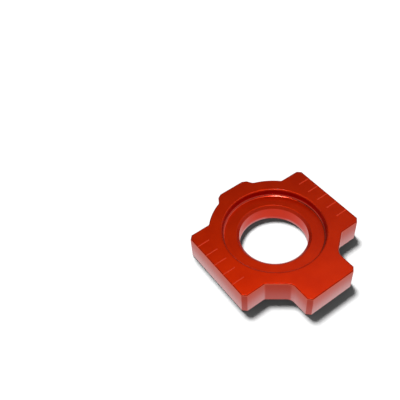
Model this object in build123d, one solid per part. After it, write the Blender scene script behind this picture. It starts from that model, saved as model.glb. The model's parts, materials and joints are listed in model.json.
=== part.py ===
from build123d import *
import math
import os

# A chain adjuster block for a motorcycle's rear axle, milled from one piece of aluminium.
# Sizes are in millimetres. The origin is where the axle's line meets the inner face, which lies
# against the swingarm. +Z points out of the swingarm, and +X from the adjuster pad to the rear tab.

# Axle bore and the recess for the axle nut
axle_diameter = 25.0
axle_clearance = 0.05        # all round, so that the axle slides in by hand
lead_in = 1.0                # chamfer between the recess floor and the bore
lead_in_edge_radius = 0.3    # rounds the chamfer's upper edge
seat_width = 5.15            # ring of the recess floor that the nut's washer bears on
recess_depth = 3.05
recess_foot_radius = 0.8     # left by the cutter between the recess wall and floor

# Plan of the block
thickness = 10.0
hub_wall = 4.95              # between the recess and the hub's outer arc
hub_overhang = 7.5           # how far the hub's circle reaches past the guide plate's two ends
land_width = 7.7             # between the recess and each guide edge
pad_height = 1.75            # how far the adjuster pad stands out of the hub
pad_face_width = 12.5
pad_flare = 1.95             # how much wider the pad gets at its root, on each side
shoulder_wall = 4.85         # between the recess and the flat shoulders beside the tab
shoulder_angle = 38.0        # which way the shoulders face, in degrees from the X axis
tab_reach = 6.75             # how far the rear tab stands out past the hub's circle
tab_width = 20.8

# Corners and edges
corner_cut = 1.4             # chamfer on the outward corners of the plate and the tab
pad_corner_cut = 1.1         # chamfer on the pad's two corners
hub_root_radius = 1.0        # between the hub and the plate's front ends
pad_root_radius = 1.75       # between the hub and the adjuster pad
shoulder_root_radius = 1.2   # between the shoulders and the plate's rear ends
tab_root_radius = 3.5        # between the shoulders and the rear tab
edge_radius = 0.45           # every edge of the outer face, the recess's lip among them
inner_edge_break = 0.45      # chamfer on every edge of the inner face, the bore's among them

# Graduations along both guide edges, cut with a V-shaped tool
mark_count = 5
mark_pitch = 5.0
mark_shift = -0.4            # the middle mark's place along X
mark_length = 5.2
mark_width = 0.4
mark_depth = 0.2

# Sizes that follow from those above
bore_radius = axle_diameter / 2 + axle_clearance
seat_start = bore_radius + lead_in
recess_radius = seat_start + seat_width
recess_floor = thickness - recess_depth
hub_radius = recess_radius + hub_wall
plate_end = hub_radius - hub_overhang
guide_edge = recess_radius + land_width
pad_face = hub_radius + pad_height
shoulder_distance = recess_radius + shoulder_wall
tab_end = hub_radius + tab_reach

cut_past = 1.0               # how far cuts run past the surface that they open
same_point = 0.01            # points closer together than this are one corner


def hub_at(across):
    """How far the hub's circle reaches along one axis at a place across the other."""
    return math.sqrt(hub_radius**2 - across**2)


def corners_at(face, places):
    """The face's corners at the given places and at their mirror images across the X axis."""
    return [
        vertex
        for vertex in face.vertices()
        if any((Vector(vertex.X, abs(vertex.Y)) - place).length < same_point for place in places)
    ]


def outline():
    """Plan: a guide plate with a round hub and pad in front, and flat shoulders and a tab behind."""
    pad_root_y = pad_face_width / 2 + pad_flare
    pad_corner = Vector(-pad_face, pad_face_width / 2)
    pad_root = Vector(-hub_at(pad_root_y), pad_root_y)
    hub_root = Vector(-plate_end, hub_at(plate_end))
    front_corner = Vector(-plate_end, guide_edge)
    rear_corner = Vector(plate_end, guide_edge)

    # The shoulder's line is x * facing_x + y * facing_y = shoulder_distance.
    facing_x = math.cos(math.radians(shoulder_angle))
    facing_y = math.sin(math.radians(shoulder_angle))
    tab_side = tab_width / 2
    shoulder_root = Vector(plate_end, (shoulder_distance - plate_end * facing_x) / facing_y)
    tab_root = Vector((shoulder_distance - tab_side * facing_y) / facing_x, tab_side)
    tab_corner = Vector(tab_end, tab_side)

    side = Curve() + [
        Line(pad_corner, pad_root),
        RadiusArc(pad_root, hub_root, hub_radius),
        Polyline(hub_root, front_corner, rear_corner, shoulder_root, tab_root, tab_corner),
    ]
    pad_line = Line((-pad_face, -pad_face_width / 2), pad_corner)
    tab_line = Line(tab_corner, (tab_end, -tab_side))
    face = make_face(side + mirror(side, about=Plane.XZ) + pad_line + tab_line)

    face = chamfer(corners_at(face, [front_corner, rear_corner, tab_corner]), corner_cut)
    face = chamfer(corners_at(face, [pad_corner]), pad_corner_cut)
    face = fillet(corners_at(face, [hub_root]), hub_root_radius)
    face = fillet(corners_at(face, [pad_root]), pad_root_radius)
    face = fillet(corners_at(face, [shoulder_root]), shoulder_root_radius)
    return fillet(corners_at(face, [tab_root]), tab_root_radius)


def stepped_bore():
    """The space of the axle bore and the nut recess above it, turned about the axle's line."""
    foot = Vector(recess_radius, recess_floor)
    lead_in_start = Vector(seat_start, recess_floor)
    section = make_face(
        Polyline(
            foot,
            lead_in_start,
            (bore_radius, recess_floor - lead_in),
            (bore_radius, -cut_past),
            (0, -cut_past),
            (0, thickness + cut_past),
            (recess_radius, thickness + cut_past),
            foot,
        )
    )
    section = fillet(corners_at(section, [foot]), recess_foot_radius)
    section = fillet(corners_at(section, [lead_in_start]), lead_in_edge_radius)
    return revolve(Plane.XZ * section, Axis.Z)


def graduation(x, side):
    """A V-shaped groove at x that runs in from the guide edge on the given side.

    The cutter stands twice as tall as the mark is deep, and so is twice as wide at its top."""
    cutter_height = 2 * mark_depth
    inner_end = Pos(x, side * (guide_edge - mark_length), thickness - mark_depth)
    section = make_face(Polyline((0, 0), (mark_width, cutter_height), (-mark_width, cutter_height), (0, 0)))
    return inner_end * extrude(Plane.XZ * section, amount=mark_length + cut_past, dir=(0, side, 0))


def axle_block():
    """The whole block."""
    block = extrude(outline(), thickness) - stepped_bore()
    block = chamfer(block.faces().sort_by(Axis.Z)[0].edges(), inner_edge_break)
    block = fillet(block.faces().sort_by(Axis.Z)[-1].edges(), edge_radius)
    middle = (mark_count - 1) / 2
    for index in range(mark_count):
        x = mark_shift + (index - middle) * mark_pitch
        block -= graduation(x, 1)
        block -= graduation(x, -1)
    return block


os.makedirs("parts", exist_ok=True)
export_step(axle_block(), "parts/axle_block.step")
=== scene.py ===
import json
import math

import bpy
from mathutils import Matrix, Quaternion, Vector


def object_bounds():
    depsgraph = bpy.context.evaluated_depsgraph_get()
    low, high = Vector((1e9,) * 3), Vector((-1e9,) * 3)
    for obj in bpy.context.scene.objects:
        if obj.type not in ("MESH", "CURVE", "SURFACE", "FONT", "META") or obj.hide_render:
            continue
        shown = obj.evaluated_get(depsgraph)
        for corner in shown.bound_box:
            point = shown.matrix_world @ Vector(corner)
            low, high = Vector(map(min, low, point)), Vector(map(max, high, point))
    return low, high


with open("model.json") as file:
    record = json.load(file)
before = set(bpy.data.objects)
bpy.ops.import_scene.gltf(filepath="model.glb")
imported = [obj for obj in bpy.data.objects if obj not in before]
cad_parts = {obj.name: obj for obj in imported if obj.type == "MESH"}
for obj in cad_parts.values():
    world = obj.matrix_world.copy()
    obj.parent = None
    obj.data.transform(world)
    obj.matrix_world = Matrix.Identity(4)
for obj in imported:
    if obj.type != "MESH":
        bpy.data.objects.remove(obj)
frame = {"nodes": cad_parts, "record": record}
cad_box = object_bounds()

MM = 0.001
WHITE = (1, 1, 1, 1)
block = frame["nodes"]["axle_block"]
mounts = {mount["name"]: mount for mount in frame["record"]["mounts"]}

# Places on the block, in metres, from the frame
recess_radius = mounts["nut_recess"]["dims"]["r_mm"] * MM
recess_floor = mounts["nut_seat"]["pos_m"][2]
bottom = cad_box[0].z
top = cad_box[1].z

# The photograph's camera
camera_aim = Vector((-35.37, -8.5, 0)) * MM
camera_distance = 231.7 * MM
camera_azimuth = math.radians(-30.47)
camera_elevation = math.radians(48.78)
camera_roll = math.radians(-6.43)
camera_lens = 51.87
camera_sensor = 36.0
camera_clip_start = 10 * MM

# The key lamp makes the shadow on the floor, and the softbox lights the block from above.
key_azimuth = math.radians(173)
key_elevation = math.radians(68.5)
key_angle = math.radians(14)
key_strength = 3.6
softbox_azimuth = math.radians(180)
softbox_elevation = math.radians(87)
softbox_width = 90 * MM
softbox_power = 1.08
lamp_distance = 500 * MM
sky_in_shadow = 0.11
floor_colour = (0.95, 0.95, 0.95, 1)
floor_half_width = 1000 * MM

# What the metal sees of the room: pale walls, dimmer behind the block, and a dark ceiling with a lit panel.
# A range runs from where a mask is 0 to where it is 1. These two are parts of a direction in the room.
wall_glow = 0.75
back_wall_glow = 0.25
front_range = (-0.7, -0.2)
ceiling_glow = 0.13
ceiling_range = (0.50, 0.75)
panel_glow = 1.1
panel_azimuth = math.radians(100)
panel_elevation = math.radians(62)
panel_inner = math.radians(2)
panel_outer = math.radians(26)

# Which way each kind of surface faces, as ranges of a part of its normal
level_range = (0.96, 0.99)
upright_range = (0.3, 0.1)
outward_range = (-0.95, -0.85)
slant_range = (0.35, 0.45)
edge_range = (0.55, 0.75)
groove_range = (0.4, 0.6)

# Where the turned part, the recess's foot and the graduations lie
turned_range = (recess_radius + 0.9 * MM, recess_radius + 0.7 * MM)
foot_radius_range = (recess_radius - 1.3 * MM, recess_radius - 0.8 * MM)
foot_height_range = (recess_floor + 1.3 * MM, recess_floor + 0.8 * MM)
mark_x_range = (13.5 * MM, 12.5 * MM)
mark_y_range = (recess_radius + 1.2 * MM, recess_radius + 1.4 * MM)
mark_z_range = (top - 0.4 * MM, top - 0.3 * MM)

# Towards the bottom the walls take a painted floor reflection, paler, and more coat: from these heights
# down to the end height below, and less on slanted walls.
wall_sheen_start = 8.5 * MM
bore_sheen_start = 2.0 * MM
fade_end = 0.4 * MM
slant_sheen = 0.35

# Colours of the dye, and of the painted shade, highlights and floor reflection mixed into it
dye_deep = (0.55, 0.019, 0.0003, 1)
dye_light = (0.62, 0.025, 0.0006, 1)
# Pale: wear on the turned rims, a painted highlight on the lower part of the milled edges, and a painted
# cream tint on the recess's foot
wear_and_highlight_pale = (0.72, 0.120, 0.065, 1)
# Painted shade: the upright walls darker than the faces, and the slanted corner walls darker still
painted_wall_shade = (0.50, 0.030, 0.0005, 1)
painted_slant_shade = (0.42, 0.022, 0.0004, 1)
# Painted reflection of the white floor, low on the walls
painted_floor_reflection = (0.52, 0.130, 0.125, 1)
# Painted shade on the upper part of the milled edges
painted_edge_shade = (0.36, 0.014, 0.0020, 1)
dye_cut = (0.62, 0.050, 0.015, 1)
cloud_share = 0.7
dye_range = (0.3, 0.7)
worn_range = (0.45, 0.75)
worn_share = 0.2
# Share of the pale on the recess's foot: a painted cream tint for its highlight
foot_highlight_tint = 0.1
mark_dullness = 0.6

# Roughness, and the clear layer over the dye
milled_roughness = 0.37
turned_roughness = 0.34
turned_rim_roughness = 0.45
foot_roughness = 0.15
tooling_roughness = 0.12
top_coat = 0.12
wall_coat = 0.30
slant_coat = 0.15
rim_coat = 0.05
turned_coat = 0.15
foot_coat = 0.70
low_wall_coat = 0.92
coat_roughness = 0.12
coat_ior = 1.5

# Marks of the tools
ring_pitch = 0.35 * MM
line_pitch = 0.35 * MM
line_stretch = (1, 1, 0.04)
grain_size = 0.22 * MM
grain_detail = 3.0
cloud_size = 7.0 * MM
bump_strength = 0.25
bump_height = 0.01 * MM


def direction(azimuth, elevation):
    """Unit vector that points from the block towards a place in the sky."""
    across = math.cos(elevation)
    return Vector((across * math.cos(azimuth), across * math.sin(azimuth), math.sin(elevation)))


class Graph:
    """A node tree, built in short lines."""

    def __init__(self, owner):
        owner.use_nodes = True
        self.tree = owner.node_tree
        self.tree.nodes.clear()

    def put(self, socket, value):
        if isinstance(value, bpy.types.NodeSocket):
            self.tree.links.new(value, socket)
        else:
            socket.default_value = value

    def add(self, kind, inputs=None, **settings):
        node = self.tree.nodes.new(kind)
        for name, value in settings.items():
            setattr(node, name, value)
        for name, value in (inputs or {}).items():
            self.put(node.inputs[name], value)
        return node

    def math(self, operation, *values, clamp=False):
        node = self.add("ShaderNodeMath", operation=operation, use_clamp=clamp)
        for socket, value in zip(node.inputs, values):
            self.put(socket, value)
        return node.outputs[0]

    def product(self, first, *others):
        for other in others:
            first = self.math("MULTIPLY", first, other)
        return first

    def size(self, value):
        """The value without its sign."""
        return self.math("ABSOLUTE", value)

    def ramp(self, value, low, high):
        """0 at low, 1 at high, smooth between."""
        node = self.add("ShaderNodeMapRange", interpolation_type="SMOOTHSTEP", clamp=True)
        for name, number in (("Value", value), ("From Min", low), ("From Max", high)):
            self.put(node.inputs[name], number)
        return node.outputs[0]

    def blend(self, share, first, second):
        """A number between the first and the second."""
        node = self.add("ShaderNodeMix", data_type="FLOAT")
        for socket, value in zip(node.inputs[0:1] + node.inputs[2:4], (share, first, second)):
            self.put(socket, value)
        return node.outputs[0]

    def tint(self, share, first, second):
        """A colour between the first and the second."""
        node = self.add("ShaderNodeMix", data_type="RGBA")
        for socket, value in zip(node.inputs[0:1] + node.inputs[6:8], (share, first, second)):
            self.put(socket, value)
        return node.outputs[2]

    def along(self, where, towards):
        """How far a direction points the given way, from -1 to 1."""
        node = self.add("ShaderNodeVectorMath", {0: where, 1: towards}, operation="DOT_PRODUCT")
        return node.outputs["Value"]

    def noise(self, where, scale=1.0, detail=2.0):
        """Soft random values from 0 to 1, along a line or in space."""
        line = where.type == "VALUE"
        node = self.add("ShaderNodeTexNoise", noise_dimensions="1D" if line else "3D")
        self.put(node.inputs["W" if line else "Vector"], where)
        self.put(node.inputs["Scale"], scale)
        self.put(node.inputs["Detail"], detail)
        return node.outputs[0]

    def mirrored(self, paths):
        """1 for what is seen in metal or through glass."""
        return self.math("ADD", paths["Is Glossy Ray"], paths["Is Transmission Ray"], clamp=True)

    def before_bounce(self, paths):
        """1 until light has left a matt surface, so that the block doesn't redden its own shadow."""
        return self.math("LESS_THAN", paths["Diffuse Depth"], 0.5)


def block_material():
    """Dyed, satin anodised aluminium, with the marks that turning and milling leave under the dye, and with
    painted shade, painted highlights and a painted floor reflection in its colour.
    """
    material = bpy.data.materials.new("anodised_aluminium")
    g = Graph(material)
    coordinates = g.add("ShaderNodeTexCoord").outputs
    place = g.add("ShaderNodeSeparateXYZ", {0: coordinates["Object"]}).outputs
    facing = g.add("ShaderNodeSeparateXYZ", {0: coordinates["Normal"]}).outputs
    square = g.math("ADD", g.product(place["X"], place["X"]), g.product(place["Y"], place["Y"]))
    radius = g.math("SQRT", square)

    # Which surface a point lies on
    turned = g.product(g.ramp(radius, *turned_range), g.ramp(facing["Z"], *outward_range))
    level = g.ramp(g.size(facing["Z"]), *level_range)
    upright = g.ramp(g.size(facing["Z"]), *upright_range)
    slanted = g.ramp(g.size(g.product(facing["X"], facing["Y"])), *slant_range)
    rim = g.math("SUBTRACT", g.math("SUBTRACT", 1.0, level), upright, clamp=True)
    foot = g.product(
        rim,
        turned,
        g.ramp(radius, *foot_radius_range),
        g.ramp(place["Z"], *foot_height_range),
    )
    # Painted floor reflection: the walls grow paler and take more coat towards the bottom
    sheen_start = g.blend(turned, wall_sheen_start, bore_sheen_start)
    low_wall_sheen = g.product(upright, g.blend(slanted, 1.0, slant_sheen), g.ramp(place["Z"], sheen_start, fade_end))
    engraved = g.product(
        g.ramp(g.size(place["X"]), *mark_x_range),
        g.ramp(g.size(place["Y"]), *mark_y_range),
        g.ramp(place["Z"], *mark_z_range),
        g.ramp(g.size(facing["X"]), *groove_range),
    )

    # Marks of the tools: rings where it is turned, upright lines on the milled walls, and grain elsewhere
    rings = g.noise(g.math("DIVIDE", g.math("ADD", radius, place["Z"]), ring_pitch))
    stretched = g.add(
        "ShaderNodeVectorMath",
        {0: coordinates["Object"], 1: line_stretch},
        operation="MULTIPLY",
    )
    lines = g.noise(stretched.outputs[0], scale=1 / line_pitch)
    grain = g.noise(coordinates["Object"], scale=1 / grain_size, detail=grain_detail)
    cloud = g.noise(coordinates["Object"], scale=1 / cloud_size)
    tooling = g.blend(turned, g.blend(upright, grain, lines), rings)

    # The dye is a little uneven, thinner on worn rims, and light in the graduations, which are cut through
    # it.
    # Painted shade darkens the walls, the slanted ones most, and the upper part of the milled edges; a
    # painted highlight lightens their lower part and tints the recess's foot; a painted floor reflection
    # pales the walls towards the bottom.
    dye = g.tint(g.ramp(g.blend(cloud_share, tooling, cloud), *dye_range), dye_deep, dye_light)
    worn = g.product(rim, g.ramp(grain, *worn_range))
    # Painted shade on the walls, most on the slanted ones
    wall_with_shade = g.tint(upright, dye, g.tint(slanted, painted_wall_shade, painted_slant_shade))
    # Painted shade on the upper part of the milled edges, painted highlight on their lower part
    rim_shade_and_highlight = g.tint(g.ramp(facing["Z"], *edge_range), wear_and_highlight_pale, painted_edge_shade)
    milled_dye_and_light = g.tint(rim, wall_with_shade, rim_shade_and_highlight)
    # Wear on the turned rims, and a painted cream tint on the recess's foot
    turned_dye_and_highlight = g.tint(g.blend(foot, g.product(worn, worn_share), foot_highlight_tint), dye, wear_and_highlight_pale)
    # Painted floor reflection, paler low on the walls
    dye_and_painted_light = g.tint(low_wall_sheen, g.tint(turned, milled_dye_and_light, turned_dye_and_highlight), painted_floor_reflection)

    turned_rim = g.blend(rim, turned_roughness, turned_rim_roughness)
    finish = g.blend(turned, milled_roughness, g.blend(foot, turned_rim, foot_roughness))
    bump = g.add("ShaderNodeBump", {"Strength": bump_strength, "Distance": bump_height, "Height": tooling})
    face_coat = g.blend(upright, top_coat, g.blend(slanted, wall_coat, slant_coat))
    milled_coat = g.blend(rim, face_coat, rim_coat)
    whole_coat = g.blend(turned, milled_coat, g.blend(foot, turned_coat, foot_coat))
    shader = g.add(
        "ShaderNodeBsdfPrincipled",
        {
            "Base Color": g.tint(engraved, dye_and_painted_light, dye_cut),
            "Metallic": g.math("SUBTRACT", 1.0, g.product(engraved, mark_dullness)),
            "Roughness": g.math("ADD", g.product(tooling, tooling_roughness), finish),
            "Normal": bump.outputs[0],
            "Coat Weight": g.blend(engraved, g.blend(low_wall_sheen, whole_coat, low_wall_coat), 0.0),
            "Coat Roughness": coat_roughness,
            "Coat IOR": coat_ior,
        },
    )
    g.add("ShaderNodeOutputMaterial", {"Surface": shader.outputs[0]})
    return material


def floor_material():
    """White paper that takes the shadow, and that the metal mirrors as plain white."""
    material = bpy.data.materials.new("floor")
    g = Graph(material)
    paths = g.add("ShaderNodeLightPath").outputs
    paper = g.add("ShaderNodeBsdfDiffuse", {"Color": floor_colour})
    white = g.add("ShaderNodeEmission", {"Color": WHITE, "Strength": g.before_bounce(paths)})
    mixed = g.add("ShaderNodeMixShader", {0: g.mirrored(paths), 1: paper.outputs[0], 2: white.outputs[0]})
    g.add("ShaderNodeOutputMaterial", {"Surface": mixed.outputs[0]})
    return material


def add_floor():
    half = floor_half_width
    mesh = bpy.data.meshes.new("floor")
    corners = [(-half, -half, bottom), (half, -half, bottom), (half, half, bottom), (-half, half, bottom)]
    mesh.from_pydata(corners, [], [(0, 1, 2, 3)])
    mesh.materials.append(floor_material())
    floor = bpy.data.objects.new("floor", mesh)
    bpy.context.scene.collection.objects.link(floor)
    return floor


def add_lamp(data, azimuth, elevation, lit):
    """Put a lamp in the sky, aimed at the block, that shines on the given things only."""
    towards = direction(azimuth, elevation)
    lamp = bpy.data.objects.new(data.name, data)
    lamp.location = towards * lamp_distance
    lamp.rotation_mode = "QUATERNION"
    lamp.rotation_quaternion = towards.to_track_quat("Z", "Y")
    bpy.context.scene.collection.objects.link(lamp)
    receivers = bpy.data.collections.new(data.name + "_lights")
    for thing in lit:
        receivers.objects.link(thing)
    lamp.light_linking.receiver_collection = receivers
    return lamp


def add_lights(floor):
    key = bpy.data.lights.new("key", "SUN")
    key.energy = key_strength
    key.angle = key_angle
    key_lamp = add_lamp(key, key_azimuth, key_elevation, [floor, block])
    key_lamp.visible_glossy = False

    softbox = bpy.data.lights.new("softbox", "AREA")
    softbox.shape = "DISK"
    softbox.size = softbox_width
    softbox.energy = softbox_power
    add_lamp(softbox, softbox_azimuth, softbox_elevation, [block])


def add_room():
    """White for the camera, walls and ceiling for the metal, and a dim light that fills the shadow."""
    world = bpy.data.worlds.new("room")
    bpy.context.scene.world = world
    g = Graph(world)
    paths = g.add("ShaderNodeLightPath").outputs
    where = g.add("ShaderNodeTexCoord").outputs["Generated"]
    height = g.add("ShaderNodeSeparateXYZ", {0: where}).outputs["Z"]

    front = g.ramp(g.along(where, direction(camera_azimuth, 0)), *front_range)
    wall = g.blend(front, back_wall_glow, wall_glow)
    unlit = g.blend(g.ramp(height, *ceiling_range), wall, ceiling_glow)
    panel_way = g.along(where, direction(panel_azimuth, panel_elevation))
    panel = g.ramp(panel_way, math.cos(panel_outer), math.cos(panel_inner))
    glow = g.product(g.blend(panel, unlit, panel_glow), g.before_bounce(paths))

    dim = g.add("ShaderNodeBackground", {"Color": WHITE, "Strength": sky_in_shadow})
    metal = g.add("ShaderNodeBackground", {"Color": WHITE, "Strength": glow})
    white = g.add("ShaderNodeBackground", {"Color": WHITE, "Strength": 1.0})
    sky = g.add("ShaderNodeMixShader", {0: g.mirrored(paths), 1: dim.outputs[0], 2: metal.outputs[0]})
    seen = g.add("ShaderNodeMixShader", {0: paths["Is Camera Ray"], 1: sky.outputs[0], 2: white.outputs[0]})
    g.add("ShaderNodeOutputWorld", {"Surface": seen.outputs[0]})


def add_camera():
    data = bpy.data.cameras.new("camera")
    data.lens = camera_lens
    data.sensor_width = camera_sensor
    data.clip_start = camera_clip_start
    camera = bpy.data.objects.new("camera", data)
    back = direction(camera_azimuth, camera_elevation)
    camera.location = camera_aim + back * camera_distance
    camera.rotation_mode = "QUATERNION"
    camera.rotation_quaternion = (-back).to_track_quat("-Z", "Y") @ Quaternion((0, 0, 1), camera_roll)
    bpy.context.scene.collection.objects.link(camera)
    bpy.context.scene.camera = camera


block.material_slots[0].material = block_material()
add_lights(add_floor())
add_room()
add_camera()
bpy.context.scene.view_settings.view_transform = "Standard"
